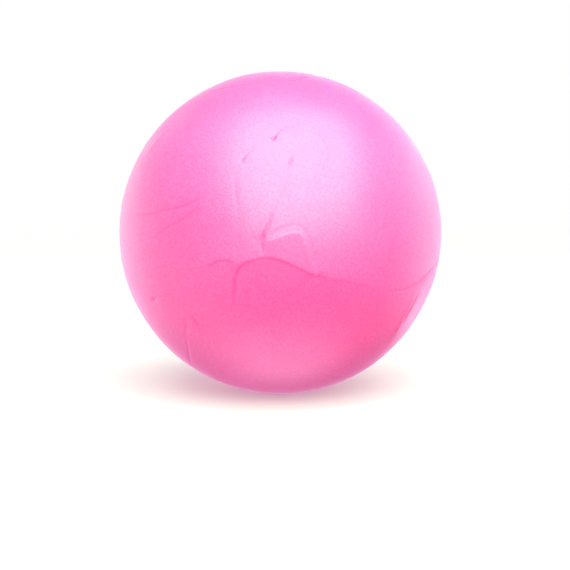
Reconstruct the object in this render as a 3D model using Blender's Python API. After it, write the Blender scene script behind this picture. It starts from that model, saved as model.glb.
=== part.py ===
"""A small soft exercise ball: a hollow moulded skin, a valve insert and the plug that closes it.

The origin is the ball's centre, +Z is up and +Y runs out through the valve. The ball stands on a small
flat under it, where a soft skin spreads on the floor under the ball's own weight.
"""

from math import asin, cos, pi, radians, sin, sqrt

import bmesh
import bpy

MM = 0.001

# Driving dimensions
BALL_RADIUS = 95.0 * MM
SKIN_WALL = 0.9 * MM
REST_FLAT_RADIUS = 16.0 * MM
BORE_RADIUS = 3.0 * MM  # the hole a pump's nozzle goes in once the plug is out
NECK_LENGTH = 17.0 * MM  # how far the insert's neck reaches into the ball, from its rim
GAP = 0.3 * MM  # between pieces that touch

# Moulded pad round the valve
PAD_FACE = BALL_RADIUS - 0.2 * MM  # height of the pad's flat above the ball's centre
PAD_FACE_RADIUS = 11.2 * MM
PAD_RADIUS = 12.0 * MM
PAD_WALL = 2.2 * MM
PAD_SKIRT_RADIUS = 16.0 * MM  # where the thick pad runs out inside the thin skin

# Valve insert
RIM_FACE = BALL_RADIUS
RIM_RADIUS = 8.0 * MM
RIM_CHAMFER = 0.3 * MM
SEAT_RADIUS = 6.2 * MM  # recess that the plug's head drops into
SEAT_DEPTH = 2.4 * MM
MOUTH_CHAMFER = 0.5 * MM
FLANGE_RADIUS = 15.0 * MM
FLANGE_WALL = 1.3 * MM
FLANGE_EDGE = 0.5 * MM
NECK_RADIUS = 5.2 * MM
NECK_TIP_RADIUS = 4.6 * MM

# Valve plug
HEAD_RADIUS = 5.8 * MM
HEAD_THICKNESS = 1.9 * MM
HEAD_EDGE = 0.6 * MM
SHANK_RADIUS = 2.25 * MM
RIB_RADIUS = BORE_RADIUS - GAP
RIB_COUNT = 3
RIB_PITCH = 3.2 * MM
RIB_START = 2.6 * MM  # from the head's underside to the first rib's shoulder
RIB_LENGTH = 2.0 * MM
TIP_RADIUS = 1.5 * MM
TIP_LENGTH = 2.2 * MM

# Faceting
BALL_SEGMENTS = 48
QUARTER_RINGS = 12
VALVE_SEGMENTS = 24
SHARP_EDGE = radians(30.0)
MERGE_DISTANCE = 0.001 * MM


def clear_scene():
    for obj in list(bpy.data.objects):
        bpy.data.objects.remove(obj)


def material(name, colour, roughness):
    made = bpy.data.materials.new(name)
    made.use_nodes = True
    shader = made.node_tree.nodes["Principled BSDF"]
    shader.inputs["Base Color"].default_value = (*colour, 1.0)
    shader.inputs["Roughness"].default_value = roughness
    shader.inputs["Metallic"].default_value = 0.0
    return made


def empty(name, parent=None):
    made = bpy.data.objects.new(name, None)
    made.parent = parent
    bpy.context.scene.collection.objects.link(made)
    return made


def on_sphere(radius, distance):
    """Height of a sphere of this radius at a distance from the axis through its centre."""
    return sqrt(radius**2 - distance**2)


def quarter(radius, start, end):
    """Points (distance from the axis, height) on a sphere, between two angles from the top."""
    turn = (end - start) / QUARTER_RINGS
    angles = [start + i * turn for i in range(QUARTER_RINGS + 1)]
    return [(radius * sin(angle), radius * cos(angle)) for angle in angles]


def turned(name, profile, segments, parent):
    """A solid turned about its own Z from (distance, height) points, run from axis to axis or in a ring."""
    mesh = bpy.data.meshes.new(name)
    shape = bmesh.new()
    points = [shape.verts.new((distance, 0.0, height)) for distance, height in profile]
    edges = [shape.edges.new(pair) for pair in zip(points, points[1:])]
    if profile[0][0] > 0.0:
        edges.append(shape.edges.new((points[-1], points[0])))
    bmesh.ops.spin(
        shape,
        geom=points + edges,
        cent=(0.0, 0.0, 0.0),
        axis=(0.0, 0.0, 1.0),
        angle=2.0 * pi,
        steps=segments,
        use_merge=True,
    )
    bmesh.ops.remove_doubles(shape, verts=shape.verts, dist=MERGE_DISTANCE)
    bmesh.ops.recalc_face_normals(shape, faces=shape.faces)
    shape.to_mesh(mesh)
    shape.free()
    obj = bpy.data.objects.new(name, mesh)
    obj.parent = parent
    bpy.context.scene.collection.objects.link(obj)
    return obj


def finished(obj, look):
    obj.data.materials.append(look)
    obj.data.shade_smooth()
    obj.data.set_sharp_from_angle(angle=SHARP_EDGE)


def boolean(obj, other, operation):
    """Joins another solid to this one, or takes it away."""
    step = obj.modifiers.new(other.name, "BOOLEAN")
    step.operation = operation
    step.object = other
    other.hide_render = True
    other.display_type = "WIRE"


def standing_sphere(name, radius, flat_radius, parent):
    """A sphere about the ball's centre, cut flat underneath where the ball rests."""
    flat_edge = pi - asin(flat_radius / radius)
    profile = [
        *quarter(radius, 0.0, pi / 2.0),
        *quarter(radius, pi / 2.0, flat_edge)[1:],
        (0.0, radius * cos(flat_edge)),
    ]
    profile[0] = (0.0, radius)
    return turned(name, profile, BALL_SEGMENTS, parent)


def ball_skin(valve_axis, look):
    """The hollow skin, flat where it stands, with a thick moulded pad round the valve's hole."""
    skin = standing_sphere("ball_skin", BALL_RADIUS, REST_FLAT_RADIUS, None)

    floor_of_air = on_sphere(BALL_RADIUS, REST_FLAT_RADIUS) - SKIN_WALL
    air_radius = BALL_RADIUS - SKIN_WALL
    air_space = standing_sphere("air_space", air_radius, sqrt(air_radius**2 - floor_of_air**2), None)

    middle_of_wall = BALL_RADIUS - SKIN_WALL / 2.0
    inside_of_pad = BALL_RADIUS - PAD_WALL
    pad = turned(
        "valve_pad",
        [
            (0.0, PAD_FACE),
            (PAD_FACE_RADIUS, PAD_FACE),
            (PAD_RADIUS, on_sphere(middle_of_wall, PAD_RADIUS)),
            (PAD_SKIRT_RADIUS, on_sphere(middle_of_wall, PAD_SKIRT_RADIUS)),
            (PAD_RADIUS, on_sphere(inside_of_pad, PAD_RADIUS)),
            (0.0, inside_of_pad),
        ],
        BALL_SEGMENTS,
        valve_axis,
    )

    hole_radius = RIM_RADIUS + GAP
    hole = turned(
        "valve_hole",
        [
            (0.0, PAD_FACE + PAD_WALL),
            (hole_radius, PAD_FACE + PAD_WALL),
            (hole_radius, PAD_FACE - 2.0 * PAD_WALL),
            (0.0, PAD_FACE - 2.0 * PAD_WALL),
        ],
        BALL_SEGMENTS,
        valve_axis,
    )

    boolean(skin, air_space, "DIFFERENCE")
    boolean(skin, pad, "UNION")
    boolean(skin, hole, "DIFFERENCE")
    finished(skin, look)


def valve_insert(valve_axis, look):
    """The soft insert: a rim with a recess, a flange against the pad from inside, and a neck with the bore."""
    flange_top = BALL_RADIUS - PAD_WALL - GAP
    flange_under = flange_top - FLANGE_WALL
    seat = RIM_FACE - SEAT_DEPTH
    neck_end = RIM_FACE - NECK_LENGTH
    insert = turned(
        "valve_insert",
        [
            (SEAT_RADIUS, RIM_FACE),
            (RIM_RADIUS - RIM_CHAMFER, RIM_FACE),
            (RIM_RADIUS, RIM_FACE - RIM_CHAMFER),
            (RIM_RADIUS, on_sphere(flange_top, RIM_RADIUS)),
            (PAD_RADIUS, on_sphere(flange_top, PAD_RADIUS)),
            (FLANGE_RADIUS, on_sphere(flange_top, FLANGE_RADIUS)),
            (FLANGE_RADIUS, on_sphere(flange_top, FLANGE_RADIUS) - FLANGE_EDGE),
            (RIM_RADIUS, on_sphere(flange_under, RIM_RADIUS)),
            (NECK_RADIUS, on_sphere(flange_under - FLANGE_WALL, NECK_RADIUS)),
            (NECK_TIP_RADIUS, neck_end),
            (BORE_RADIUS, neck_end),
            (BORE_RADIUS, seat - MOUTH_CHAMFER),
            (BORE_RADIUS + MOUTH_CHAMFER, seat),
            (SEAT_RADIUS, seat),
        ],
        VALVE_SEGMENTS,
        valve_axis,
    )
    finished(insert, look)


def valve_plug(plug_slide, look):
    """The stopper: a round head and a shank with saw-tooth ribs. Height 0 is the head's underside."""
    ribs = []
    for number in range(RIB_COUNT):
        shoulder = -RIB_START - number * RIB_PITCH
        ribs += [
            (SHANK_RADIUS, shoulder),
            (RIB_RADIUS, shoulder),
            (SHANK_RADIUS, shoulder - RIB_LENGTH),
        ]
    tip = ribs[-1][1] - TIP_LENGTH
    plug = turned(
        "valve_plug",
        [
            (0.0, HEAD_THICKNESS),
            (HEAD_RADIUS - HEAD_EDGE, HEAD_THICKNESS),
            (HEAD_RADIUS, HEAD_THICKNESS - HEAD_EDGE),
            (HEAD_RADIUS, HEAD_EDGE),
            (HEAD_RADIUS - HEAD_EDGE, 0.0),
            (SHANK_RADIUS, 0.0),
            *ribs,
            (TIP_RADIUS, tip),
            (0.0, tip),
        ],
        VALVE_SEGMENTS,
        plug_slide,
    )
    finished(plug, look)


def main():
    clear_scene()
    pink = material("skin_pink", (0.93, 0.09, 0.33), 0.45)
    pale_pink = material("insert_pink", (0.86, 0.16, 0.40), 0.5)
    white = material("plug_white", (0.86, 0.86, 0.84), 0.4)

    valve_axis = empty("valve_axis")
    valve_axis.rotation_euler = (radians(-90.0), 0.0, 0.0)
    plug_slide = empty("plug_slide", valve_axis)
    plug_slide.location = (0.0, 0.0, RIM_FACE - SEAT_DEPTH + GAP)

    ball_skin(valve_axis, pink)
    valve_insert(valve_axis, pale_pink)
    valve_plug(plug_slide, white)


main()
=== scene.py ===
"""Looks for the soft exercise ball: a creased skin of pearl pink vinyl, its valve insert and its plug."""

from math import cos, hypot, pi, radians, sin, sqrt

import bmesh
import bpy
import numpy as np
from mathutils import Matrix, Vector, noise
from mathutils.kdtree import KDTree


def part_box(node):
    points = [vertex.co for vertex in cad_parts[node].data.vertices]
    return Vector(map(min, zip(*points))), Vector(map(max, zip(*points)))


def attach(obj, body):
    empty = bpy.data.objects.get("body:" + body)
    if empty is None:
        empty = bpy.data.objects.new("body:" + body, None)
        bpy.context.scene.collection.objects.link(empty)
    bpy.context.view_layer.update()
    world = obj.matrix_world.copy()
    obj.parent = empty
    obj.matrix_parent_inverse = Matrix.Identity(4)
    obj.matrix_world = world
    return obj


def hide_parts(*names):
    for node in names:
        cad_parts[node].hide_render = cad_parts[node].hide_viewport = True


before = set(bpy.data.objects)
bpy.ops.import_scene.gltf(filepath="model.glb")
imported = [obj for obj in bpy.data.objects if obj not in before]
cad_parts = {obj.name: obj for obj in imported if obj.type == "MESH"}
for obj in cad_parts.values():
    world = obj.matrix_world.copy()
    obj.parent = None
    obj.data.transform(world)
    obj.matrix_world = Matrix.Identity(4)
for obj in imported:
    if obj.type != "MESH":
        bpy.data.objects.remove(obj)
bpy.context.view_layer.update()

MM = 0.001

# Sizes read from the frame
skin_low, skin_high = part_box("ball_skin")
insert_low, insert_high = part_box("valve_insert")
plug_low, plug_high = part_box("valve_plug")
BALL_RADIUS = (skin_high.x - skin_low.x) / 2.0
FLOOR = skin_low.z
RIM_FACE = insert_high.y
NECK_END = insert_low.y
FLANGE_RADIUS = insert_high.x
HEAD_RADIUS = plug_high.x
HEAD_TOP = plug_high.y
PLUG_TIP = plug_low.y

# Skin
SKIN_WALL = 0.9 * MM
FLOOR_EDGE_ROUNDING = 0.5 * MM
FACET_EDGE_ROUNDING = 1.2 * MM
PAD_FACE = RIM_FACE - 0.2 * MM
PAD_RADIUS = 12.3 * MM
PAD_EDGE = 1.3 * MM
PAD_WALL = 2.2 * MM
PAD_SKIRT_RADIUS = 16.0 * MM
HOLE_RADIUS = 8.3 * MM
HOLE_ROUNDING = 0.35 * MM
CREASE_FREE_RADIUS = 23.0 * MM  # round the valve, where the thick pad kept the skin from folding
SWELL = 0.35 * MM  # of the slack skin, at its broadest
SWELL_SCALE = 2.2
RIPPLE = 0.07 * MM
RIPPLE_SCALE = 6.5
RIPPLE_PLACE = Vector((7.0, 1.0, 3.0))
VALVE_SIDE = 0.9  # y of a unit vector from which the skin is near the valve
LEAST_FACING = 0.05  # keeps a division from running away on the far side of a flat

# Valve insert
RIM_RADIUS = 8.0 * MM
RIM_ROUNDING = 0.45 * MM
SEAT_RADIUS = 6.2 * MM
SEAT = RIM_FACE - 2.4 * MM
BORE_RADIUS = 3.0 * MM
MOUTH_ROUNDING = 0.5 * MM
FLANGE_TOP = BALL_RADIUS - PAD_WALL - 0.3 * MM
FLANGE_WALL = 1.3 * MM
FLANGE_ROUNDING = 0.25 * MM
FLANGE_CLEARANCE = 0.05 * MM
FLANGE_RINGS = 5
NECK_RADIUS = 5.2 * MM
NECK_TIP_RADIUS = 4.6 * MM
NECK_SHOULDER = (0.6 * MM, 0.25 * MM)  # how far it is outside the neck, and under the flange
CORNER_ROUNDING = 0.3 * MM

# Valve plug
HEAD_THICKNESS = 1.9 * MM
HEAD_ROUNDING = 0.55 * MM
DISH_RADIUS = 4.3 * MM
DISH_DEPTH = 0.35 * MM
DISH_SLOPE = 0.5 * MM
DISH_EDGE = 0.2 * MM
DISH_EDGE_DROP = 0.1 * MM
GATE_MARK_RADIUS = 0.6 * MM
GATE_MARK_HEIGHT = 0.15 * MM
SHANK_RADIUS = 2.25 * MM
RIB_RADIUS = 2.7 * MM
RIB_PITCH = 3.2 * MM
RIB_START = 2.6 * MM  # from the head's underside to the first rib's shoulder
RIB_LENGTH = 2.0 * MM
RIB_ROUNDING = 0.15 * MM
TIP_RADIUS = 1.5 * MM
TIP_ROUNDING = 0.4 * MM

# Faceting: triangles are long on the plain skin, short along creases and round the valve
BASE_SUBDIVISIONS = 6
FINE_EDGE = 0.6 * MM
EDGE_GROWTH = 0.55
FINE_BAND = 1.0 * MM
LONGEST = 1.35  # times the edge length wanted
FINE_INSIDE_HOLE = 1.0 * MM  # how far short edges reach into the hole, which is cut out
FINE_PAST_PAD = 0.5 * MM
TURNED_SEGMENTS = 96
DOME_SUBDIVISIONS = 4
PATH_SPACING = 1.0 * MM
CURVE_STEPS = 24
SHARP_EDGE = radians(50.0)
MERGE_DISTANCE = 0.001 * MM

# Vinyl skin
PEARL_PINK = (0.93, 0.072, 0.29, 1.0)
PALER_PEARL = (0.93, 0.088, 0.315, 1.0)
# painted shade: deeper pink in the gaps between pebbles
PEBBLE_GAP_SHADE = (0.88, 0.055, 0.25, 1.0)
# deeper pink along folds and in pinches: pearl coat rubbed off there, and painted shade
WORN_AND_SHADED_PINK = (0.84, 0.03, 0.235, 1.0)
PEBBLE_SCALE = 720.0
PEBBLE_BLEND = 0.6
PEBBLE_SHADE_RANGE = (0.2, 0.6)  # from a pebble's top to the gap between pebbles
FINE_SCALE = 1600.0
FINE_SHARE = 0.5
BLOTCH_SCALE = 28.0
BLOTCH_RANGE = (0.3, 0.7)
VINYL_BUMP = 0.3
VINYL_GRAIN = 0.25 * MM
VINYL_ROUGHNESS = (0.42, 0.47)
PEARL_IOR = 1.85
SCATTER = 0.4  # share of the light that comes back out of the vinyl, reddest farthest
SCATTER_RADIUS = (1.0, 0.2, 0.4)
SCATTER_SCALE = 2.0 * MM

# Insert and plug
INSERT_COLOURS = ((0.86, 0.14, 0.38, 1.0), (0.86, 0.19, 0.44, 1.0))
INSERT_SCALE = 900.0
INSERT_ROUGHNESS = 0.45
PLUG_COLOURS = ((0.68, 0.68, 0.66, 1.0), (0.76, 0.76, 0.74, 1.0))
PLUG_SCALE = 700.0
PLUG_ROUGHNESS = 0.38
MOULDED_BUMP = 0.15
MOULDED_GRAIN = 0.1 * MM

# Camera: a little above level, with the ball left of and above the middle of the picture
CAMERA_DISTANCE = 0.80
CAMERA_ELEVATION = radians(4.5)
CAMERA_DIP = radians(2.2)
CAMERA_TURN = radians(-0.2)
LENS = 85.0
SENSOR = 36.0

# Studio: how bright each part of the room round the ball is
FRONT_LIGHT = 1.5
FRONT_SIDE_LIGHT = 0.75
REAR_LIGHT = 0.55
REAR_SIDE_LIGHT = 1.0
BACKDROP_LIGHT = 2.4  # white band at the ball's height, behind it
FRONT_LOW_LIGHT = 0.25
REAR_LOW_LIGHT = 0.4
LEFT_LOW_LIGHT = 1.1
RIGHT_LOW_LIGHT = 0.6
UNDER_LIGHT = 2.1
HIGH_COLOUR = (1.0, 1.0, 1.0, 1.0)
LOW_COLOUR = (1.0, 1.0, 1.25, 1.0)

# Where those parts of the room fade in or out, along x, y or z of a unit vector
SIDE_RANGE = (0.4, 0.75)
MIDDLE = 0.1  # the middle of the front lies this far to the right
RIGHT_RANGE = (-0.2, 0.2)
REAR_RANGE = (-0.1, 0.4)
LOW_RANGE = (-0.25, 0.05)
UNDER_RANGE = (-0.95, -0.8)
BACKDROP_RANGE = (0.05, 0.5)
BACKDROP_TOP = (0.33, 0.55)
BACKDROP_FOOT = (-0.6, -0.25)
BACKDROP_LEAN = -0.3  # its top comes down towards the left

# Softbox: its place in degrees and metres from the ball's centre, its size and its light
SOFTBOX_EAST = 14.5
SOFTBOX_UP = 51.0
SOFTBOX_DISTANCE = 1.1
SOFTBOX_WIDTH = 1.8
SOFTBOX_HEIGHT = 2.15
SOFTBOX_RADIANCE = 4.4
SOFTBOX_COLOUR = (1.0, 1.0, 0.81)

# Floor and surround, which only the camera sees
FLOOR_ALBEDO = 0.45
FLOOR_GLOW = 0.25
FLOOR_FADE = (0.2, 1.5)  # from and to these distances from the ball
SURROUND_GLOW = 1.0
DIM_SURROUND_GLOW = 0.7  # behind the camera
SURROUND_RANGE = (-0.3, 0.6)
ROOM_RADIUS = 8.0
WHITE = (1.0, 1.0, 1.0, 1.0)
BLACK = (0.0, 0.0, 0.0, 1.0)

# Creases on the skin. A stop is (degrees east, degrees up, strength from 0 to 1) as seen from the ball's
# centre, with east 0 towards -Y. The other values are in millimetres, apart from the deeper pink given
# last. groove and width are the line itself. ridge is how far the skin stands proud along the line (a
# valley if negative) and reach how far to each side that runs out. step is how far the skin stands proud on
# the left of the path, seen from outside, and step_width and step_reach are its edge and how far it runs
# out. That deeper pink, from 0 to
# 1, is partly the pearl coat the fold has rubbed off and partly painted shade in the fold.
FRONT_CREASES = [
    # Pinch at the top of the front, with an arm up to the right and a faint arch
    {"stops": [(-3.4, 35.5, 0.0), (-2.7, 36.8, 1.0), (-1.4, 38.9, 0.6), (0.8, 41.0, 0.25),
               (4.5, 44.2, 0.0)],
     "groove": 0.50, "width": 1.0, "wear_and_shade": 0.6},
    {"stops": [(-1.0, 38.0, 0.0), (3.0, 39.7, 1.0), (8.0, 40.7, 1.0), (13.5, 39.5, 1.0),
               (17.0, 36.0, 0.9), (17.3, 31.0, 0.7), (15.0, 26.0, 0.5), (12.0, 21.0, 0.4),
               (9.0, 16.0, 0.0)],
     "ridge": 0.42, "reach": 1.5, "wear_and_shade": 0.4},
    {"stops": [(16.0, 36.0, 0.0), (16.0, 31.5, 1.0), (14.0, 26.0, 1.0), (11.0, 21.0, 0.8),
               (8.0, 16.5, 0.0)],
     "groove": 0.20, "width": 1.0, "wear_and_shade": 0.4},
    {"stops": [(-9.5, 32.8, 0.0), (-12.3, 31.0, 0.7), (-14.0, 28.6, 1.0), (-14.6, 27.0, 0.0)],
     "groove": 0.32, "width": 0.75, "wear_and_shade": 0.5},
    {"stops": [(-14.5, 28.0, 0.0), (-15.8, 22.0, 0.8), (-14.6, 15.0, 1.0), (-13.2, 8.0, 0.0)],
     "groove": 0.11, "width": 1.1, "wear_and_shade": 0.2},
    {"stops": [(5.2, 31.0, 0.0), (4.4, 29.4, 0.8), (3.7, 27.5, 1.0), (3.0, 26.0, 0.6), (2.7, 24.8, 0.0)],
     "groove": 0.50, "width": 0.75, "wear_and_shade": 0.9},
    {"stops": [(2.8, 25.0, 0.0), (2.3, 22.0, 0.8), (0.9, 17.5, 0.8), (-2.0, 12.0, 1.0), (-3.2, 9.0, 0.0)],
     "groove": 0.15, "width": 1.1, "wear_and_shade": 0.3},
    # The dog-ear in the middle: the fold that runs into it, its proud edges and the groove round them
    {"stops": [(-2.4, 11.5, 0.0), (-2.9, 9.8, 0.8), (-3.7, 7.2, 1.0), (-4.9, 4.8, 1.0), (-5.9, 2.4, 1.0),
               (-6.0, 0.0, 0.7), (-5.2, -2.2, 0.0)],
     "groove": 0.42, "width": 0.85, "wear_and_shade": 0.6},
    {"stops": [(-10.0, 4.8, 0.0), (-8.0, 2.4, 1.0), (-6.0, -0.2, 0.0)],
     "groove": 0.10, "width": 0.8},
    {"stops": [(12.4, -9.0, 1.0), (11.0, -6.4, 0.9), (9.2, -2.0, 0.6), (8.0, 1.6, 0.6), (6.6, 4.2, 1.0),
               (4.2, 5.0, 1.0), (0.2, 3.7, 1.0), (-2.8, 2.6, 0.9), (-5.2, 1.8, 0.4)],
     "ridge": 0.28, "reach": 5.0, "step": 0.14, "step_width": 0.65, "step_reach": 3.0},
    {"stops": [(-4.6, 3.2, 0.0), (-3.2, 4.1, 1.0), (-0.6, 5.4, 1.0), (2.4, 6.7, 1.0), (5.4, 6.9, 1.0),
               (7.8, 5.2, 0.9), (9.3, 2.2, 0.7), (10.6, -1.8, 0.5), (11.8, -5.0, 0.0)],
     "groove": 0.09, "width": 1.0, "wear_and_shade": 0.25},
    # The long fold across the front: its line, the arm below it, and the broad bend of the skin along it
    {"stops": [(-15.9, -20.5, 0.0), (-15.5, -17.0, 0.6), (-15.0, -12.4, 0.8), (-14.3, -9.2, 0.9),
               (-13.0, -6.8, 0.9), (-11.5, -5.4, 0.0)],
     "groove": 0.30, "width": 0.8, "step": 0.25, "step_width": 0.7, "wear_and_shade": 0.9},
    {"stops": [(-13.6, -7.6, 0.0), (-12.0, -5.8, 0.8), (-9.0, -4.4, 0.8), (-5.5, -3.7, 0.6),
               (-2.0, -3.8, 0.9), (1.0, -4.7, 1.0), (5.0, -6.5, 0.9), (9.0, -8.5, 0.9), (11.8, -9.5, 1.0),
               (14.0, -9.8, 0.6), (18.0, -11.0, 0.5), (23.0, -11.8, 0.5), (27.0, -13.0, 0.45),
               (31.0, -14.0, 0.2), (35.0, -15.2, 0.0)],
     "groove": 0.16, "width": 0.8, "step": 0.22, "step_width": 0.7, "wear_and_shade": 0.5},
    {"stops": [(-41.0, -8.0, 0.0), (-31.0, -6.5, 0.8), (-17.0, -5.2, 1.0), (-8.0, -4.2, 1.0),
               (0.0, -4.4, 1.0), (9.0, -8.6, 1.0), (18.0, -11.0, 0.9), (28.0, -13.2, 0.7),
               (40.0, -16.0, 0.4), (50.0, -16.5, 0.0)],
     "ridge": 0.85, "reach": 12.0},
    {"stops": [(36.0, -15.6, 0.0), (42.0, -16.3, 0.3), (47.0, -16.4, 0.3), (52.0, -16.1, 0.5),
               (56.0, -15.0, 0.8), (60.0, -13.3, 1.0), (66.0, -11.2, 1.0), (73.0, -9.2, 0.8),
               (84.0, -6.5, 0.6), (95.0, -4.0, 0.7), (106.0, -3.5, 0.4), (116.0, -5.5, 0.0)],
     "groove": 0.75, "width": 1.0, "wear_and_shade": 0.9},
    {"stops": [(-25.0, -7.4, 0.0), (-22.6, -6.0, 0.8), (-19.6, -4.7, 1.0), (-16.5, -4.7, 0.8),
               (-14.2, -5.4, 0.0)],
     "groove": 0.24, "width": 0.8, "step": 0.20, "step_width": 0.7, "wear_and_shade": 0.7},
    {"stops": [(-1.2, -8.0, 0.0), (-2.0, -13.0, 1.0), (-2.8, -20.0, 1.0), (-2.6, -28.0, 0.6),
               (-2.0, -34.0, 0.0)],
     "groove": 0.10, "width": 1.1, "wear_and_shade": 0.2},
    {"stops": [(-0.5, -15.8, 0.0), (1.5, -15.2, 0.8), (3.6, -14.0, 1.0), (6.0, -12.8, 0.0)],
     "groove": 0.14, "width": 1.0, "wear_and_shade": 0.3},
    # Pinched corner low on the right
    {"stops": [(60.4, -18.0, 0.0), (59.6, -20.4, 0.8), (58.6, -24.0, 1.0), (57.8, -27.5, 1.0),
               (57.2, -31.0, 0.0)],
     "groove": 0.65, "width": 1.0, "wear_and_shade": 0.6},
    {"stops": [(58.4, -16.5, 0.0), (57.0, -21.0, 0.6), (56.0, -26.0, 1.0), (55.8, -31.0, 1.0),
               (57.0, -36.0, 0.8), (60.0, -41.0, 0.0)],
     "ridge": 0.60, "reach": 1.8},
    # Pair that comes in from the left edge
    {"stops": [(-72.0, 10.6, 0.0), (-65.0, 9.4, 0.3), (-59.0, 8.7, 0.5), (-53.0, 8.8, 1.0),
               (-47.0, 9.7, 0.9), (-41.0, 11.0, 0.6), (-36.0, 11.8, 0.8), (-31.5, 13.4, 1.0),
               (-27.5, 15.2, 0.0)],
     "groove": 0.30, "width": 0.95, "step": 0.12, "wear_and_shade": 0.55},
    {"stops": [(-47.0, 1.8, 0.0), (-42.5, 4.0, 0.4), (-38.0, 6.2, 0.6), (-34.0, 8.0, 1.0),
               (-30.5, 10.3, 1.0), (-27.8, 12.4, 0.0)],
     "groove": 0.28, "width": 0.95, "step": 0.14, "wear_and_shade": 0.5},
    {"stops": [(-55.5, -21.2, 0.0), (-52.0, -20.0, 1.0), (-48.0, -19.0, 0.4), (-43.0, -18.0, 0.3),
               (-38.5, -16.8, 0.0)],
     "groove": 0.42, "width": 0.9, "wear_and_shade": 0.6},
    {"stops": [(-63.0, -9.6, 0.0), (-58.0, -7.8, 0.7), (-51.0, -6.0, 0.8), (-43.0, -4.4, 0.0)],
     "groove": 0.10, "width": 1.0},
    {"stops": [(-34.2, -23.2, 0.0), (-33.4, -25.6, 1.0), (-32.6, -28.0, 0.9), (-32.2, -30.0, 0.0)],
     "groove": 0.50, "width": 0.85, "wear_and_shade": 0.8},
    {"stops": [(-37.0, -24.0, 0.0), (-38.0, -27.5, 0.8), (-40.0, -31.0, 0.6), (-42.8, -36.0, 0.7),
               (-46.0, -40.5, 1.0), (-52.0, -46.5, 0.7), (-60.0, -52.0, 0.0)],
     "groove": 0.42, "width": 0.9, "wear_and_shade": 0.7},
    # Facet edge high on the left
    {"stops": [(-66.0, 28.0, 0.0), (-64.5, 34.0, 1.0), (-62.0, 41.0, 1.0), (-57.0, 48.0, 0.6),
               (-50.0, 54.0, 0.0)],
     "ridge": 0.30, "reach": 2.6, "step": 0.14},
]

RIGHT_CREASES = [
    {"stops": [(87.0, -5.0, 0.0), (84.5, 3.0, 0.7), (80.5, 13.0, 1.0), (78.5, 23.0, 0.8),
               (80.0, 32.0, 0.4), (84.0, 41.0, 0.0)],
     "groove": 0.29, "width": 1.0, "step": 0.18, "wear_and_shade": 0.35},
    {"stops": [(94.0, 20.0, 0.0), (100.0, 23.0, 1.0), (107.0, 24.3, 0.8), (115.0, 22.5, 0.0)],
     "groove": 0.31, "width": 0.95, "wear_and_shade": 0.4},
    {"stops": [(127.0, 3.0, 0.9), (129.5, 9.0, 0.8), (127.0, 15.0, 1.0), (121.5, 16.5, 1.0),
               (115.5, 13.0, 1.0), (111.0, 9.0, 0.7)],
     "step": 0.28, "step_width": 1.3, "step_reach": 4.5},
    {"stops": [(110.0, 12.5, 0.0), (114.0, 16.0, 1.0), (120.5, 19.0, 1.0), (128.5, 17.6, 1.0),
               (132.0, 11.0, 0.6), (131.0, 5.0, 0.0)],
     "groove": 0.18, "width": 1.5},
    {"stops": [(100.0, 11.0, 0.0), (107.0, 8.6, 0.8), (115.0, 5.2, 1.0), (123.0, 2.8, 1.0),
               (131.0, 2.2, 0.9), (139.0, 4.6, 0.7), (147.0, 9.0, 0.6), (154.0, 15.0, 0.0)],
     "groove": 0.36, "width": 0.95, "step": 0.18, "wear_and_shade": 0.45},
    {"stops": [(98.0, 12.0, 0.0), (115.0, 5.5, 1.0), (131.0, 2.5, 1.0), (150.0, 11.0, 0.0)],
     "ridge": 0.6, "reach": 11.0},
    {"stops": [(103.0, -17.0, 0.0), (100.0, -24.0, 0.8), (98.0, -33.0, 1.0), (100.5, -42.0, 0.6),
               (106.0, -50.0, 0.0)],
     "groove": 0.26, "width": 1.0, "step": 0.14, "wear_and_shade": 0.3},
    {"stops": [(88.0, -28.0, 0.0), (92.0, -30.5, 1.0), (97.5, -32.0, 0.0)],
     "groove": 0.21, "width": 0.9},
]

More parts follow.
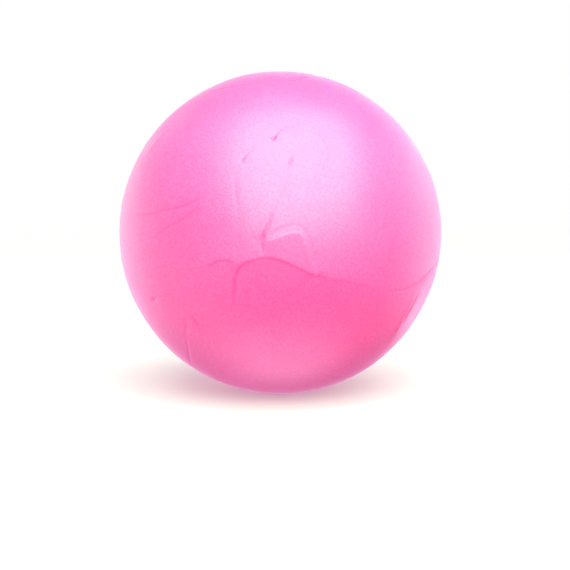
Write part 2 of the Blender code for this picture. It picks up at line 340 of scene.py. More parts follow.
BACK_CREASES = [
    {"stops": [(118.0, -21.0, 0.0), (126.0, -18.4, 0.8), (136.0, -19.0, 1.0), (146.0, -22.5, 0.9),
               (155.0, -27.0, 0.6), (166.0, -30.0, 0.8), (178.0, -29.5, 1.0), (190.0, -27.5, 0.9),
               (202.0, -23.5, 0.9), (214.0, -19.5, 0.7), (226.0, -18.0, 0.4), (238.0, -19.5, 0.0)],
     "groove": 0.36, "width": 0.95, "step": 0.18, "wear_and_shade": 0.45},
    {"stops": [(130.0, -18.5, 0.0), (150.0, -24.5, 1.0), (172.0, -30.0, 1.0), (196.0, -26.0, 1.0),
               (218.0, -18.6, 0.0)],
     "ridge": 0.7, "reach": 12.0},
    {"stops": [(137.0, -20.0, 0.0), (138.5, -28.0, 0.8), (137.5, -38.0, 0.8), (133.0, -47.0, 0.0)],
     "groove": 0.23, "width": 1.0, "wear_and_shade": 0.3},
    {"stops": [(189.0, -28.5, 0.0), (187.5, -35.0, 1.0), (189.0, -43.0, 0.7), (194.0, -52.0, 0.0)],
     "groove": 0.29, "width": 1.0, "wear_and_shade": 0.35},
    {"stops": [(214.0, -18.6, 0.0), (217.0, -11.0, 0.8), (218.0, -2.5, 1.0), (215.0, 6.0, 0.8),
               (213.0, 13.0, 0.0)],
     "groove": 0.26, "width": 1.0, "step": 0.14, "wear_and_shade": 0.3},
    {"stops": [(226.0, 2.5, 0.9), (229.0, -3.0, 0.8), (227.0, -8.5, 1.0), (220.5, -10.5, 0.9)],
     "step": -0.24, "step_width": 1.3, "step_reach": 4.0},
    {"stops": [(144.0, 25.0, 0.0), (151.0, 30.0, 0.8), (160.0, 34.0, 0.9), (170.0, 36.0, 1.0),
               (181.0, 35.0, 0.9), (191.0, 31.2, 1.0), (199.0, 26.5, 0.6), (207.0, 24.5, 0.0)],
     "groove": 0.34, "width": 0.95, "step": 0.18, "wear_and_shade": 0.45},
    {"stops": [(190.0, 31.5, 0.6), (192.5, 37.0, 1.0), (192.0, 43.0, 0.6), (189.0, 48.0, 0.0)],
     "groove": 0.36, "width": 1.0, "wear_and_shade": 0.4},
    {"stops": [(169.0, 37.0, 0.0), (166.0, 45.0, 0.7), (160.0, 54.0, 0.9), (149.0, 62.0, 0.5),
               (134.0, 67.0, 0.0)],
     "groove": 0.20, "width": 1.1, "wear_and_shade": 0.2},
    {"stops": [(156.0, 20.0, 0.0), (161.0, 23.5, 1.0), (167.0, 25.0, 0.0)],
     "groove": 0.21, "width": 0.9},
]

LEFT_CREASES = [
    {"stops": [(231.0, 8.0, 0.0), (240.0, 11.0, 0.8), (250.0, 12.4, 1.0), (262.0, 10.8, 0.9),
               (273.0, 8.8, 0.8), (283.0, 9.6, 0.7), (291.0, 10.2, 0.0)],
     "groove": 0.34, "width": 0.95, "step": 0.18, "wear_and_shade": 0.45},
    {"stops": [(249.5, 13.5, 0.0), (247.0, 21.0, 0.9), (241.0, 31.0, 1.0), (236.5, 41.0, 0.6),
               (238.0, 49.0, 0.0)],
     "groove": 0.26, "width": 1.0, "step": 0.14, "wear_and_shade": 0.3},
    {"stops": [(256.0, 27.0, 0.0), (262.0, 31.0, 1.0), (269.0, 33.0, 0.8), (276.0, 32.0, 0.0)],
     "groove": 0.23, "width": 0.95, "wear_and_shade": 0.3},
    {"stops": [(258.0, -9.0, 0.0), (266.0, -13.5, 0.9), (276.0, -16.8, 1.0), (288.0, -19.4, 0.6),
               (300.0, -21.0, 0.0)],
     "groove": 0.29, "width": 1.0, "step": 0.14, "wear_and_shade": 0.35},
    {"stops": [(266.0, -14.5, 0.0), (263.0, -22.0, 0.8), (258.0, -31.0, 0.9), (256.0, -40.0, 0.0)],
     "groove": 0.21, "width": 1.1, "wear_and_shade": 0.2},
    {"stops": [(240.0, -37.0, 0.0), (247.0, -41.5, 0.9), (257.0, -43.5, 1.0), (268.0, -41.5, 0.5),
               (276.0, -38.0, 0.0)],
     "groove": 0.26, "width": 1.0, "wear_and_shade": 0.3},
]

TOP_CREASES = [
    {"stops": [(-22.0, 60.0, 0.0), (-10.0, 64.5, 0.7), (8.0, 68.5, 0.9), (34.0, 73.0, 0.8),
               (72.0, 77.0, 0.7), (112.0, 74.0, 0.8), (136.0, 67.5, 0.4), (150.0, 61.0, 0.0)],
     "groove": 0.26, "width": 1.0, "step": 0.18, "wear_and_shade": 0.35},
    {"stops": [(52.0, 47.0, 0.0), (60.0, 53.0, 0.7), (70.0, 61.0, 0.9), (80.0, 71.5, 1.0),
               (96.0, 79.0, 0.0)],
     "groove": 0.26, "width": 1.0, "ridge": 0.2, "reach": 2.5, "wear_and_shade": 0.3},
    {"stops": [(-74.0, 52.0, 0.0), (-62.0, 58.5, 0.9), (-44.0, 63.0, 0.8), (-24.0, 65.0, 0.5),
               (-10.0, 65.5, 0.0)],
     "groove": 0.22, "width": 1.0, "wear_and_shade": 0.3},
    {"stops": [(198.0, 58.0, 0.0), (213.0, 65.0, 0.9), (238.0, 70.0, 1.0), (268.0, 71.0, 0.6),
               (294.0, 67.0, 0.0)],
     "groove": 0.29, "width": 1.0, "step": 0.14, "wear_and_shade": 0.35},
    {"stops": [(243.0, 71.0, 0.0), (228.0, 78.0, 0.8), (190.0, 83.0, 0.7), (150.0, 80.0, 0.0)],
     "groove": 0.20, "width": 1.0, "wear_and_shade": 0.2},
]

UNDER_CREASES = [
    {"stops": [(18.0, -49.0, 0.0), (31.0, -54.0, 0.8), (50.0, -57.0, 1.0), (70.0, -56.0, 0.7),
               (86.0, -51.0, 0.0)],
     "groove": 0.26, "width": 1.0, "step": 0.14, "wear_and_shade": 0.3},
    {"stops": [(-28.0, -60.0, 0.0), (-45.0, -61.0, 0.9), (-66.0, -58.5, 1.0), (-84.0, -53.0, 0.6),
               (-96.0, -47.0, 0.0)],
     "groove": 0.26, "width": 1.0, "wear_and_shade": 0.3},
    {"stops": [(148.0, -58.0, 0.0), (165.0, -62.0, 0.8), (186.0, -61.5, 1.0), (205.0, -56.0, 0.6),
               (217.0, -50.0, 0.0)],
     "groove": 0.26, "width": 1.0, "step": 0.14, "wear_and_shade": 0.3},
]

CREASES = FRONT_CREASES + RIGHT_CREASES + BACK_CREASES + LEFT_CREASES + TOP_CREASES + UNDER_CREASES

# Pinches where folds met: (degrees east, degrees up, radius in mm, depth in mm, deeper pink for rubbed coat
# and painted shade in the pinch)
PINCHES = [
    (-2.8, 37.0, 1.5, 0.50, 0.9),
    (-14.2, 28.4, 1.5, 0.20, 0.3),
    (3.9, 28.2, 1.0, 0.15, 0.5),
    (-5.4, 3.2, 1.4, 0.20, 0.4),
    (12.2, -9.9, 1.3, 0.22, 0.3),
    (-52.0, -20.0, 1.4, 0.40, 0.9),
    (58.2, -25.5, 2.0, 0.40, 0.3),
    (190.5, 31.3, 2.0, 0.40, 0.5),
    (137.0, -19.2, 1.8, 0.30, 0.4),
    (249.6, 12.5, 1.9, 0.35, 0.5),
    (80.0, 71.5, 1.8, 0.30, 0.4),
    (104.0, 73.0, 2.2, 0.80, 0.9),
]

# Gentle hollows of the slack skin, in the same form
HOLLOWS = [
    (-2.5, -6.0, 12.0, 0.60, 0.0),
    (35.0, 9.5, 13.0, 0.45, 0.0),
    (-41.0, 22.5, 12.0, 0.45, 0.0),
]

# Flattened facets: (degrees east, degrees up, how far the skin is pressed in at the middle in mm)
FACETS = [
    (71, -25, 1.5),
    (-63, 45, 0.9),
    (106, 36, 0.35),
    (146, -8, 0.3),
    (150, 50, 0.4),
    (206, -44, 0.4),
    (244, 0, 0.35),
    (264, 52, 0.4),
    (272, -32, 0.4),
    (20, 62, 0.35),
]


def clamp01(values):
    return np.clip(values, 0.0, 1.0)


def smoothstep(values):
    values = clamp01(values)
    return values * values * (3.0 - 2.0 * values)


def direction(east, up):
    """Unit vector on the ball for degrees east of -Y and degrees up."""
    east, up = radians(east), radians(up)
    return np.array((sin(east) * cos(up), -cos(east) * cos(up), sin(up)))


def smooth_curve(knots):
    """Catmull-Rom points through rows of numbers, from the first to the last."""
    knots = np.vstack([2.0 * knots[0] - knots[1], knots, 2.0 * knots[-1] - knots[-2]])
    t = np.linspace(0.0, 1.0, CURVE_STEPS, endpoint=False)[:, None]
    spans = []
    for a, b, c, d in zip(knots, knots[1:], knots[2:], knots[3:]):
        bend = (2.0 * a - 5.0 * b + 4.0 * c - d) * t**2 + (3.0 * b - a - 3.0 * c + d) * t**3
        spans.append(b + 0.5 * ((c - a) * t + bend))
    return np.vstack([*spans, knots[-2:-1]])


def path_on_ball(stops):
    """Evenly spaced unit vectors along a smooth curve through the stops, and the strength at each."""
    knots = np.array([[*direction(east, up), strength] for east, up, strength in stops])
    dense = smooth_curve(knots)
    dense[:, :3] /= np.linalg.norm(dense[:, :3], axis=1)[:, None]
    lengths = np.linalg.norm(np.diff(dense[:, :3], axis=0), axis=1)
    along = np.concatenate([[0.0], np.cumsum(lengths)])
    count = max(3, int(along[-1] * BALL_RADIUS / PATH_SPACING) + 1)
    even = np.linspace(0.0, along[-1], count)
    path = np.stack([np.interp(even, along, dense[:, column]) for column in range(4)], axis=1)
    points = path[:, :3] / np.linalg.norm(path[:, :3], axis=1)[:, None]
    return points, clamp01(path[:, 3])


class Crease:
    """A fold line on the skin, with what it does to the surface round it."""

    end_fade = 1.5 * MM
    fold_tip = 0.45 * MM
    wear_and_shade_width = 0.9 * MM
    widths_out = 5.0  # past which the crease no longer shows

    def __init__(
        self,
        stops,
        groove=0.0,
        width=0.9,
        ridge=0.0,
        reach=3.0,
        step=0.0,
        step_width=1.2,
        step_reach=4.0,
        wear_and_shade=0.0,
    ):
        self.points, self.strengths = path_on_ball(stops)
        self.groove, self.width = groove * MM, width * MM
        self.ridge, self.reach = ridge * MM, reach * MM
        self.step, self.step_width, self.step_reach = step * MM, step_width * MM, step_reach * MM
        self.wear_and_shade = wear_and_shade
        self.is_sharp = groove > 0.0 or step != 0.0
        middle = self.points.mean(axis=0)
        self.middle = middle / np.linalg.norm(middle)
        widest = np.arccos(np.min(self.points @ self.middle))
        broadest = max(self.reach if ridge else 0.0, self.step_reach if step else 0.0, self.width)
        self.cap = cos(min(pi, widest + self.widths_out * broadest / BALL_RADIUS))

    def near(self, units):
        """For the unit vectors close to the crease: their indices, signed distances and strengths."""
        index = np.nonzero(units @ self.middle > self.cap)[0]
        close = units[index]
        best = np.full(len(index), np.inf)
        signed = np.zeros(len(index))
        strength = np.zeros(len(index))
        from_end = np.zeros(len(index))
        spans = np.diff(self.points, axis=0)
        last = len(spans)
        for number, (start, span) in enumerate(zip(self.points, spans)):
            size = np.linalg.norm(span)
            offset = close - start
            t = clamp01(offset @ span / size**2)
            gap = offset - t[:, None] * span
            distance = np.linalg.norm(gap, axis=1)
            closer = distance < best
            best[closer] = distance[closer]
            side = np.sign(gap @ np.cross(start, span))
            signed[closer] = (distance * side)[closer]
            low, high = self.strengths[number : number + 2]
            strength[closer] = (low + t * (high - low))[closer]
            from_end[closer] = (np.minimum(number + t, last - number - t) * size)[closer]
        fade = smoothstep(from_end * BALL_RADIUS / self.end_fade)
        return index, signed * BALL_RADIUS, strength * fade

    def profile(self, across, fine):
        """Height of the skin at signed distances across the crease."""
        rise = self.ridge * np.exp(-(np.sqrt(across**2 + self.fold_tip**2) - self.fold_tip) / self.reach)
        edge = across / np.sqrt(across**2 + self.step_width**2)
        rise += self.step * edge * np.exp(-np.abs(across) / self.step_reach)
        if fine:
            rise -= self.groove * np.exp(-((across / self.width) ** 2))
        return rise


def crease_effect(units, creases, fine):
    """Height change in metres, and deeper pink for rubbed coat and painted shade, for each unit vector,
    with the fine grooves or without.
    """
    height = np.zeros(len(units))
    wear_and_shade = np.zeros(len(units))
    for crease in creases:
        index, across, strength = crease.near(units)
        height[index] += crease.profile(across, fine) * strength
        # deeper pink along the fold line: partly rubbed coat, partly painted shade
        worn_and_shaded = crease.wear_and_shade * strength * np.exp(-((across / crease.wear_and_shade_width) ** 2))
        wear_and_shade[index] = np.maximum(wear_and_shade[index], worn_and_shaded)
    for east, up, radius, depth, worn_and_shaded in PINCHES + HOLLOWS:
        away = np.linalg.norm(units - direction(east, up), axis=1) * BALL_RADIUS
        dimple = np.exp(-((away / (radius * MM)) ** 2))
        height -= depth * MM * dimple
        # pinches are painted deeper pink as well: rubbed coat and painted shade in the dimple
        wear_and_shade = np.maximum(wear_and_shade, worn_and_shaded * dimple)
    return height, wear_and_shade


def soft_min(a, b, blend):
    mix = clamp01(0.5 + 0.5 * (b - a) / blend)
    return b + (a - b) * mix - blend * mix * (1.0 - mix)


def slackness(units):
    """Gentle hollows and swells of a skin that is blown up a little short of full."""
    swell = np.array([noise.noise(Vector(u) * SWELL_SCALE) for u in units])
    ripple = np.array([noise.noise(Vector(u) * RIPPLE_SCALE + RIPPLE_PLACE) for u in units])
    return SWELL * swell + RIPPLE * ripple


def skin_shape(units, creases, inner):
    """Places of the skin's outer or inner surface along unit vectors, and the deeper pink painted on it for
    rubbed coat and shade in the folds.
    """
    valve_distance = np.hypot(units[:, 0], units[:, 2]) * BALL_RADIUS
    valve_distance = np.where(units[:, 1] > 0.0, valve_distance, BALL_RADIUS)
    away = smoothstep((valve_distance - PAD_SKIRT_RADIUS) / (CREASE_FREE_RADIUS - PAD_SKIRT_RADIUS))
    height, wear_and_shade = crease_effect(units, creases, fine=not inner)
    wall = SKIN_WALL if inner else 0.0
    radius = BALL_RADIUS - wall + away * (height + slackness(units))
    for east, up, depth in FACETS:
        facing = np.maximum(units @ direction(east, up), LEAST_FACING)
        flat = (BALL_RADIUS - wall - depth * MM) / facing
        radius = soft_min(radius, flat, FACET_EDGE_ROUNDING)
    floor = (-FLOOR - wall) / np.maximum(-units[:, 2], LEAST_FACING)
    radius = soft_min(radius, floor, FLOOR_EDGE_ROUNDING)
    places = units * radius[:, None]

    on_pad = units[:, 1] > VALVE_SIDE
    rho = np.hypot(places[:, 0], places[:, 2])
    if inner:
        thick = smoothstep((PAD_SKIRT_RADIUS - rho) / (PAD_SKIRT_RADIUS - PAD_RADIUS))
        thinner = 1.0 - thick * (PAD_WALL - SKIN_WALL) / BALL_RADIUS
        places[on_pad] *= thinner[on_pad, None]
    else:
        flat = smoothstep((PAD_RADIUS - rho) / PAD_EDGE)
        places[on_pad, 1] += (flat * (PAD_FACE - places[:, 1]))[on_pad]
    return places, wear_and_shade * away


def fine_sphere(sharp_creases):
    """A unit sphere of triangles that get short near the sharp creases and round the valve."""
    lines = np.vstack([[[0.0, 1.0, 0.0]], *[crease.points for crease in sharp_creases]])
    tree = KDTree(len(lines))
    for number, point in enumerate(lines):
        tree.insert(point, number)
    tree.balance()

    def wanted(point):
        """Edge length wanted at a point of the unit sphere."""
        gap = tree.find(point)[2] * BALL_RADIUS
        if point.y > VALVE_SIDE:
            rho = hypot(point.x, point.z) * BALL_RADIUS
            gap = max(HOLE_RADIUS - FINE_INSIDE_HOLE - rho, rho - PAD_RADIUS - FINE_PAST_PAD, 0.0)
        return FINE_EDGE + EDGE_GROWTH * max(0.0, gap - FINE_BAND)

    sphere = bmesh.new()
    bmesh.ops.create_icosphere(sphere, subdivisions=BASE_SUBDIVISIONS, radius=1.0)
    while True:
        long_edges = []
        for edge in sphere.edges:
            a, b = edge.verts[0].co, edge.verts[1].co
            if (a - b).length * BALL_RADIUS > LONGEST * wanted(((a + b) / 2.0).normalized()):
                long_edges.append(edge)
        if not long_edges:
            break
        bmesh.ops.subdivide_edges(sphere, edges=long_edges, cuts=1, use_grid_fill=True)
        bmesh.ops.triangulate(sphere, faces=[face for face in sphere.faces if len(face.verts) > 3])
        for vert in sphere.verts:
            vert.co.normalize()
    return sphere


def mesh_object(name, shape):
    mesh = bpy.data.meshes.new(name)
    shape.to_mesh(mesh)
    shape.free()
    obj = bpy.data.objects.new(name, mesh)
    bpy.context.scene.collection.objects.link(obj)
    return obj


def skin_surface(name, creases, inner):
    """The outer or inner surface of the skin, with its deeper pink for rubbed coat and painted shade in the
    folds as an attribute.
    """
    sphere = fine_sphere([] if inner else [crease for crease in creases if crease.is_sharp])
    units = np.array([vert.co for vert in sphere.verts])
    places, wear_and_shade = skin_shape(units, creases, inner)
    for vert, place in zip(sphere.verts, places):
        vert.co = place
    if inner:
        bmesh.ops.reverse_faces(sphere, faces=sphere.faces)
    surface = mesh_object(name, sphere)
    # the deeper pink of rubbed coat and painted shade in folds and pinches, kept as an attribute
    coat_and_shade = surface.data.attributes.new("wear_and_shade", "FLOAT", "POINT")
    coat_and_shade.data.foreach_set("value", wear_and_shade)
    return surface


def arc(centre, radius, start, end, steps=4):
    """Points on a round corner in the (distance, y) plane, between two angles in degrees from +distance."""
    turn = (end - start) / steps
    angles = [radians(start + number * turn) for number in range(steps + 1)]
    return [(centre[0] + radius * cos(angle), centre[1] + radius * sin(angle)) for angle in angles]


def turned(name, profile):
    """A solid turned about the valve's axis from (distance from the axis, y) points."""
    shape = bmesh.new()
    points = [shape.verts.new((distance, y, 0.0)) for distance, y in profile]
    edges = [shape.edges.new(pair) for pair in zip(points, points[1:])]
    if profile[0][0] > 0.0:
        edges.append(shape.edges.new((points[-1], points[0])))
    bmesh.ops.spin(
        shape,
        geom=points + edges,
        cent=(0.0, 0.0, 0.0),
        axis=(0.0, 1.0, 0.0),
        angle=2.0 * pi,
        steps=TURNED_SEGMENTS,
        use_merge=True,
    )
    bmesh.ops.remove_doubles(shape, verts=shape.verts, dist=MERGE_DISTANCE)
    bmesh.ops.recalc_face_normals(shape, faces=shape.faces)
    obj = mesh_object(name, shape)
    obj.data.shade_smooth()
    obj.data.set_sharp_from_angle(angle=SHARP_EDGE)
    return obj


def apply_modifiers(obj):
    graph = bpy.context.evaluated_depsgraph_get()
    result = bpy.data.meshes.new_from_object(obj.evaluated_get(graph))
    obj.modifiers.clear()
    old = obj.data
    obj.data = result
    bpy.data.meshes.remove(old)


def skin_piece():
    """The hollow creased skin, with the valve's hole through its pad."""
    creases = [Crease(**entry) for entry in CREASES]
    skin = skin_surface("soft_skin", creases, inner=False)
    lining = skin_surface("lining", creases, inner=True)
    with bpy.context.temp_override(active_object=skin, selected_editable_objects=[skin, lining]):
        bpy.ops.object.join()

    flare = HOLE_RADIUS + HOLE_ROUNDING
    halfway = 0.3 * HOLE_ROUNDING  # a round corner's middle lies this far from both of its sides
    outside = PAD_FACE + PAD_WALL
    inside = PAD_FACE - 3.0 * PAD_WALL
    cutter = turned(
        "valve_hole",
        [
            (0.0, outside),
            (flare, outside),
            (flare, PAD_FACE),
            (HOLE_RADIUS + halfway, PAD_FACE - halfway),
            (HOLE_RADIUS, PAD_FACE - HOLE_ROUNDING),
            (HOLE_RADIUS, inside),
            (0.0, inside),
        ],
    )
    step = skin.modifiers.new("valve_hole", "BOOLEAN")
    step.operation = "DIFFERENCE"
    step.object = cutter
    apply_modifiers(skin)
    bpy.data.objects.remove(cutter)
    skin.data.shade_smooth()
    skin.data.set_sharp_from_angle(angle=SHARP_EDGE)
    return skin


def on_sphere(radius, distance):
    """Height of a sphere of this radius at a distance from the axis through its centre."""
    return sqrt(radius**2 - distance**2)


def insert_piece():
    """The insert: a rounded rim round the plug's seat, a flange inside the skin and the bore's neck."""
    under = FLANGE_TOP - FLANGE_WALL
    flange_edge = on_sphere(FLANGE_TOP, FLANGE_RADIUS) - 2.0 * FLANGE_CLEARANCE
    flange_middle = (FLANGE_RADIUS - FLANGE_ROUNDING, flange_edge - FLANGE_ROUNDING)
    flange_rings = np.linspace(RIM_RADIUS, FLANGE_RADIUS - FLANGE_ROUNDING, FLANGE_RINGS)
    shoulder_out, shoulder_down = NECK_SHOULDER
    corner = CORNER_ROUNDING
    profile = [
        *arc((SEAT_RADIUS + RIM_ROUNDING, RIM_FACE - RIM_ROUNDING), RIM_ROUNDING, 180.0, 90.0),
        *arc((RIM_RADIUS - RIM_ROUNDING, RIM_FACE - RIM_ROUNDING), RIM_ROUNDING, 90.0, 0.0),
        *[(float(ring), on_sphere(FLANGE_TOP, ring) - FLANGE_CLEARANCE) for ring in flange_rings],
        *arc(flange_middle, FLANGE_ROUNDING, 60.0, -90.0),
        (RIM_RADIUS, on_sphere(under, RIM_RADIUS)),
        (NECK_RADIUS + shoulder_out, on_sphere(under, NECK_RADIUS) - shoulder_down),
        (NECK_RADIUS, on_sphere(under - FLANGE_WALL, NECK_RADIUS)),
        *arc((NECK_TIP_RADIUS - corner, NECK_END + corner), corner, 0.0, -90.0),
        *arc((BORE_RADIUS + corner, NECK_END + corner), corner, -90.0, -180.0),
        *arc((BORE_RADIUS + MOUTH_ROUNDING, SEAT - MOUTH_ROUNDING), MOUTH_ROUNDING, 180.0, 90.0),
        *arc((SEAT_RADIUS - corner, SEAT + corner), corner, -90.0, 0.0),
    ]
    return turned("insert_moulded", profile)


def plug_piece():
    """The stopper: a dished head with the moulding's gate mark, and a shank with saw-tooth ribs."""
    underside = HEAD_TOP - HEAD_THICKNESS
    dish = HEAD_TOP - DISH_DEPTH
    profile = [
        (0.0, dish + GATE_MARK_HEIGHT),
        (GATE_MARK_RADIUS - GATE_MARK_HEIGHT, dish + GATE_MARK_HEIGHT),
        (GATE_MARK_RADIUS, dish),
        (DISH_RADIUS - DISH_SLOPE, dish),
        (DISH_RADIUS - DISH_EDGE, dish + DISH_EDGE_DROP),
        (DISH_RADIUS, HEAD_TOP - DISH_EDGE_DROP),
        (DISH_RADIUS + DISH_EDGE, HEAD_TOP),
        *arc((HEAD_RADIUS - HEAD_ROUNDING, HEAD_TOP - HEAD_ROUNDING), HEAD_ROUNDING, 90.0, 0.0),
        *arc((HEAD_RADIUS - HEAD_ROUNDING, underside + HEAD_ROUNDING), HEAD_ROUNDING, 0.0, -90.0),
        *arc((SHANK_RADIUS + CORNER_ROUNDING, underside - CORNER_ROUNDING), CORNER_ROUNDING, 90.0, 180.0),
    ]
    rib = underside - RIB_START
    while rib - RIB_LENGTH > PLUG_TIP:
        profile.append((SHANK_RADIUS, rib))
        profile += arc((RIB_RADIUS - RIB_ROUNDING, rib - RIB_ROUNDING), RIB_ROUNDING, 90.0, 0.0, steps=3)
        profile.append((SHANK_RADIUS, rib - RIB_LENGTH))
        rib -= RIB_PITCH
    profile += arc((TIP_RADIUS - TIP_ROUNDING, PLUG_TIP + TIP_ROUNDING), TIP_ROUNDING, 0.0, -90.0)
    profile.append((0.0, PLUG_TIP))
    return turned("plug_moulded", profile)


def new_material(name):
    made = bpy.data.materials.new(name)
    made.use_nodes = True
    tree = made.node_tree
    return made, tree, tree.nodes["Principled BSDF"]


def connect(tree, socket, value):
    """Links an output to a socket, or sets the socket to a plain value."""
    if isinstance(value, bpy.types.NodeSocket):
        tree.links.new(value, socket)
    else:
        socket.default_value = value


def node(tree, kind, **settings):
    """Adds a node, connecting each named input, or setting each property that isn't an input."""
    made = tree.nodes.new(kind)
    for key, value in settings.items():
        if key in made.inputs:
            connect(tree, made.inputs[key], value)
        else:
            setattr(made, key, value)
    return made


def arithmetic(tree, operation, *values):
    """A Math node on outputs and plain numbers."""
    made = node(tree, "ShaderNodeMath", operation=operation)
    for socket, value in zip(made.inputs, values):
        connect(tree, socket, value)
    return made.outputs["Value"]


def blend(tree, factor, low, high):
    """A number between two."""
    return node(tree, "ShaderNodeMix", data_type="FLOAT", Factor=factor, A=low, B=high).outputs["Result"]


def tint(tree, factor, low, high):
    """A colour between two."""
    return node(tree, "ShaderNodeMix", data_type="RGBA", Factor=factor, A=low, B=high).outputs["Result"]


def ramp(tree, value, start, end, low, high):
    """A smooth step from low to high as value goes from start to end."""
    limits = {"From Min": start, "From Max": end, "To Min": low, "To Max": high}
    made = node(tree, "ShaderNodeMapRange", interpolation_type="SMOOTHSTEP", Value=value, **limits)
    return made.outputs["Result"]


def finish_shader(tree, shader, colour, grain, strength, depth):
    """Connects a surface's colour, and its grain as a bump."""
    bump = node(tree, "ShaderNodeBump", Height=grain, Strength=strength, Distance=depth)
    connect(tree, shader.inputs["Normal"], bump.outputs["Normal"])
    connect(tree, shader.inputs["Base Color"], colour)


def vinyl():
    """Pearl pink vinyl with a pebble grain, painted shade between pebbles, and deeper pink along creases
    and pinches for rubbed coat and painted shade.
    """
    made, tree, shader = new_material("pearl_vinyl")
    place = node(tree, "ShaderNodeTexCoord").outputs["Object"]
    pebbles = node(tree, "ShaderNodeTexVoronoi", feature="SMOOTH_F1", Vector=place, Scale=PEBBLE_SCALE)
    pebbles.inputs["Smoothness"].default_value = PEBBLE_BLEND
    cavity = pebbles.outputs["Distance"]
    fine = node(tree, "ShaderNodeTexNoise", Vector=place, Scale=FINE_SCALE, Detail=2.0).outputs["Fac"]
    sunk = arithmetic(tree, "MULTIPLY", cavity, -1.0)
    grain = arithmetic(tree, "MULTIPLY_ADD", fine, FINE_SHARE, sunk)

    blotch = node(tree, "ShaderNodeTexNoise", Vector=place, Scale=BLOTCH_SCALE, Detail=3.0).outputs["Fac"]
    pebble_tops = tint(tree, blotch, PEARL_PINK, PALER_PEARL)
    # painted shade: the pink goes deeper towards the gaps between pebbles
    coat_and_shade = tint(tree, ramp(tree, cavity, *PEBBLE_SHADE_RANGE, 0.0, 1.0), pebble_tops, PEBBLE_GAP_SHADE)
    # deeper pink along folds and pinches: partly rubbed pearl coat, partly painted shade
    worn_and_shaded = node(tree, "ShaderNodeAttribute", attribute_name="wear_and_shade").outputs["Fac"]
    finish_shader(tree, shader, tint(tree, worn_and_shaded, coat_and_shade, WORN_AND_SHADED_PINK), grain, VINYL_BUMP, VINYL_GRAIN)

    connect(tree, shader.inputs["Roughness"], ramp(tree, blotch, *BLOTCH_RANGE, *VINYL_ROUGHNESS))
    shader.inputs["IOR"].default_value = PEARL_IOR
    shader.inputs["Subsurface Weight"].default_value = SCATTER
    shader.inputs["Subsurface Radius"].default_value = SCATTER_RADIUS
    shader.inputs["Subsurface Scale"].default_value = SCATTER_SCALE
    return made


def moulded(name, colours, grain_scale, roughness):
    """A moulded plastic with a faint grain and a slightly uneven colour."""
    made, tree, shader = new_material(name)
    place = node(tree, "ShaderNodeTexCoord").outputs["Object"]
    speck = node(tree, "ShaderNodeTexNoise", Vector=place, Scale=grain_scale, Detail=3.0).outputs["Fac"]
    finish_shader(tree, shader, tint(tree, speck, *colours), speck, MOULDED_BUMP, MOULDED_GRAIN)
    shader.inputs["Roughness"].default_value = roughness
    return made


def camera():
    """The scene's camera, in front of the ball."""
    data = bpy.data.cameras.new("camera")
    data.lens = LENS
    data.sensor_width = SENSOR
    eye = bpy.data.objects.new("camera", data)
    back = CAMERA_DISTANCE * cos(CAMERA_ELEVATION)
    eye.location = (0.0, -back, CAMERA_DISTANCE * sin(CAMERA_ELEVATION))
    eye.rotation_euler = (pi / 2.0 - CAMERA_ELEVATION - CAMERA_DIP, 0.0, CAMERA_TURN)
    bpy.context.scene.collection.objects.link(eye)
    bpy.context.scene.camera = eye


def softbox():
    """One large soft light above and a little to the right of the camera, facing the ball."""
    data = bpy.data.lights.new("softbox", "AREA")
    data.shape = "RECTANGLE"
    data.size = SOFTBOX_WIDTH
    data.size_y = SOFTBOX_HEIGHT
    data.energy = SOFTBOX_RADIANCE * SOFTBOX_WIDTH * SOFTBOX_HEIGHT * pi
    data.color = SOFTBOX_COLOUR
    lamp = bpy.data.objects.new("softbox", data)
    toward = Vector(direction(SOFTBOX_EAST, SOFTBOX_UP))
    lamp.location = toward * SOFTBOX_DISTANCE
    lamp.rotation_euler = toward.to_track_quat("Z", "Y").to_euler()
    lamp.visible_camera = False
    bpy.context.scene.collection.objects.link(lamp)


def room_light(tree, way):
    """Strength of the light from each direction: a dark low front and rear, and white behind the ball."""
    split = node(tree, "ShaderNodeSeparateXYZ", Vector=way)
    right, back, up = split.outputs["X"], split.outputs["Y"], split.outputs["Z"]
    from_middle = arithmetic(tree, "ABSOLUTE", arithmetic(tree, "SUBTRACT", right, MIDDLE))
    to_side = ramp(tree, from_middle, *SIDE_RANGE, 0.0, 1.0)
    to_right = ramp(tree, right, *RIGHT_RANGE, 0.0, 1.0)
    to_rear = ramp(tree, back, *REAR_RANGE, 0.0, 1.0)
    below = ramp(tree, up, *LOW_RANGE, 1.0, 0.0)
    underneath = ramp(tree, up, *UNDER_RANGE, 1.0, 0.0)
    lean = arithmetic(tree, "MULTIPLY", arithmetic(tree, "MINIMUM", right, 0.0), BACKDROP_LEAN)
    not_high = ramp(tree, arithmetic(tree, "ADD", up, lean), *BACKDROP_TOP, 1.0, 0.0)
    level = arithmetic(tree, "MULTIPLY", not_high, ramp(tree, up, *BACKDROP_FOOT, 0.0, 1.0))
    backdrop = arithmetic(tree, "MULTIPLY", level, ramp(tree, back, *BACKDROP_RANGE, 0.0, 1.0))

    high_middle = blend(tree, to_rear, FRONT_LIGHT, REAR_LIGHT)
    high_side = blend(tree, to_rear, FRONT_SIDE_LIGHT, REAR_SIDE_LIGHT)
    low_middle = blend(tree, to_rear, FRONT_LOW_LIGHT, REAR_LOW_LIGHT)
    low_side = blend(tree, to_right, LEFT_LOW_LIGHT, RIGHT_LOW_LIGHT)
    high = blend(tree, to_side, high_middle, high_side)
    low = blend(tree, to_side, low_middle, low_side)
    room = blend(tree, underneath, blend(tree, below, high, low), UNDER_LIGHT)
    return blend(tree, backdrop, room, BACKDROP_LIGHT)


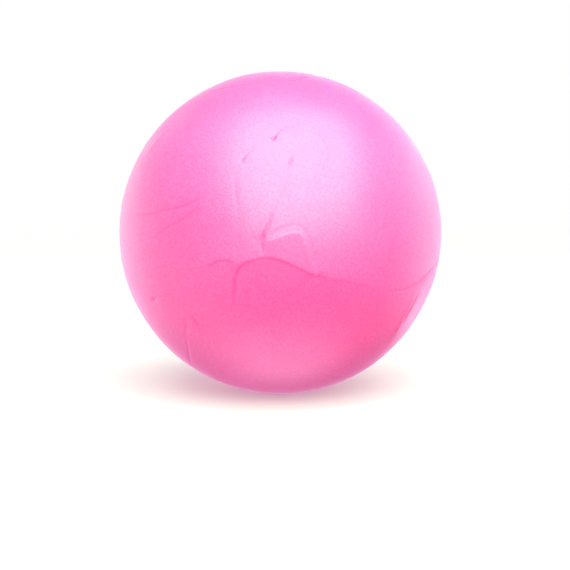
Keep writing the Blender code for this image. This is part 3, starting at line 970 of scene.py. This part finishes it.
def room_colour(tree, way):
    """Colour of the light from each direction, a little cooler from below."""
    up = node(tree, "ShaderNodeSeparateXYZ", Vector=way).outputs["Z"]
    return tint(tree, ramp(tree, up, *LOW_RANGE, 1.0, 0.0), HIGH_COLOUR, LOW_COLOUR)


def camera_only(obj):
    """Hides an object from diffuse and glossy rays, so the camera sees it while the ball is lit by the room
    beyond it.
    """
    obj.visible_diffuse = False
    obj.visible_glossy = False


def surround_glow(tree, place):
    """Strength of the white surround: full behind the ball, a little grey on the camera's side."""
    way = node(tree, "ShaderNodeVectorMath", operation="NORMALIZE", Vector=place).outputs["Vector"]
    back = node(tree, "ShaderNodeSeparateXYZ", Vector=way).outputs["Y"]
    return ramp(tree, back, *SURROUND_RANGE, DIM_SURROUND_GLOW, SURROUND_GLOW)


def pale_floor():
    """A wide pale floor that fades to white further from the ball."""
    shape = bmesh.new()
    bmesh.ops.create_circle(shape, cap_ends=True, radius=ROOM_RADIUS, segments=TURNED_SEGMENTS)
    floor = mesh_object("floor", shape)
    floor.location.z = FLOOR
    made, tree, shader = new_material("pale_floor")
    place = node(tree, "ShaderNodeTexCoord").outputs["Object"]
    distance = node(tree, "ShaderNodeVectorMath", operation="LENGTH", Vector=place).outputs["Value"]
    glow = ramp(tree, distance, *FLOOR_FADE, FLOOR_GLOW, surround_glow(tree, place))
    connect(tree, shader.inputs["Base Color"], ramp(tree, distance, *FLOOR_FADE, FLOOR_ALBEDO, 0.0))
    connect(tree, shader.inputs["Emission Strength"], glow)
    shader.inputs["Emission Color"].default_value = WHITE
    shader.inputs["Specular IOR Level"].default_value = 0.0
    floor.data.materials.append(made)
    camera_only(floor)


def white_surround():
    """A plain dome behind everything, in every view."""
    shape = bmesh.new()
    bmesh.ops.create_icosphere(shape, subdivisions=DOME_SUBDIVISIONS, radius=ROOM_RADIUS)
    dome = mesh_object("surround", shape)
    dome.visible_shadow = False
    made, tree, shader = new_material("white_surround")
    place = node(tree, "ShaderNodeTexCoord").outputs["Object"]
    shader.inputs["Base Color"].default_value = BLACK
    shader.inputs["Specular IOR Level"].default_value = 0.0
    shader.inputs["Emission Color"].default_value = WHITE
    connect(tree, shader.inputs["Emission Strength"], surround_glow(tree, place))
    dome.data.materials.append(made)
    camera_only(dome)


def studio():
    """The room's light, the softbox, the floor and the surround."""
    world = bpy.data.worlds.new("studio")
    world.use_nodes = True
    bpy.context.scene.world = world
    bpy.context.scene.view_settings.view_transform = "Standard"
    tree = world.node_tree
    way = node(tree, "ShaderNodeTexCoord").outputs["Generated"]
    background = tree.nodes["Background"]
    connect(tree, background.inputs["Color"], room_colour(tree, way))
    connect(tree, background.inputs["Strength"], room_light(tree, way))
    softbox()
    pale_floor()
    white_surround()


def dress(piece, material, body, cad_node):
    """Gives a piece its material and the body it moves with, and hides the CAD node it stands for."""
    piece.data.materials.clear()
    piece.data.materials.append(material)
    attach(piece, body)
    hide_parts(cad_node)


def main():
    camera()
    insert_vinyl = moulded("insert_vinyl", INSERT_COLOURS, INSERT_SCALE, INSERT_ROUGHNESS)
    plug_plastic = moulded("plug_plastic", PLUG_COLOURS, PLUG_SCALE, PLUG_ROUGHNESS)
    dress(skin_piece(), vinyl(), "ball", "ball_skin")
    dress(insert_piece(), insert_vinyl, "ball", "valve_insert")
    dress(plug_piece(), plug_plastic, "plug", "valve_plug")
    studio()


main()
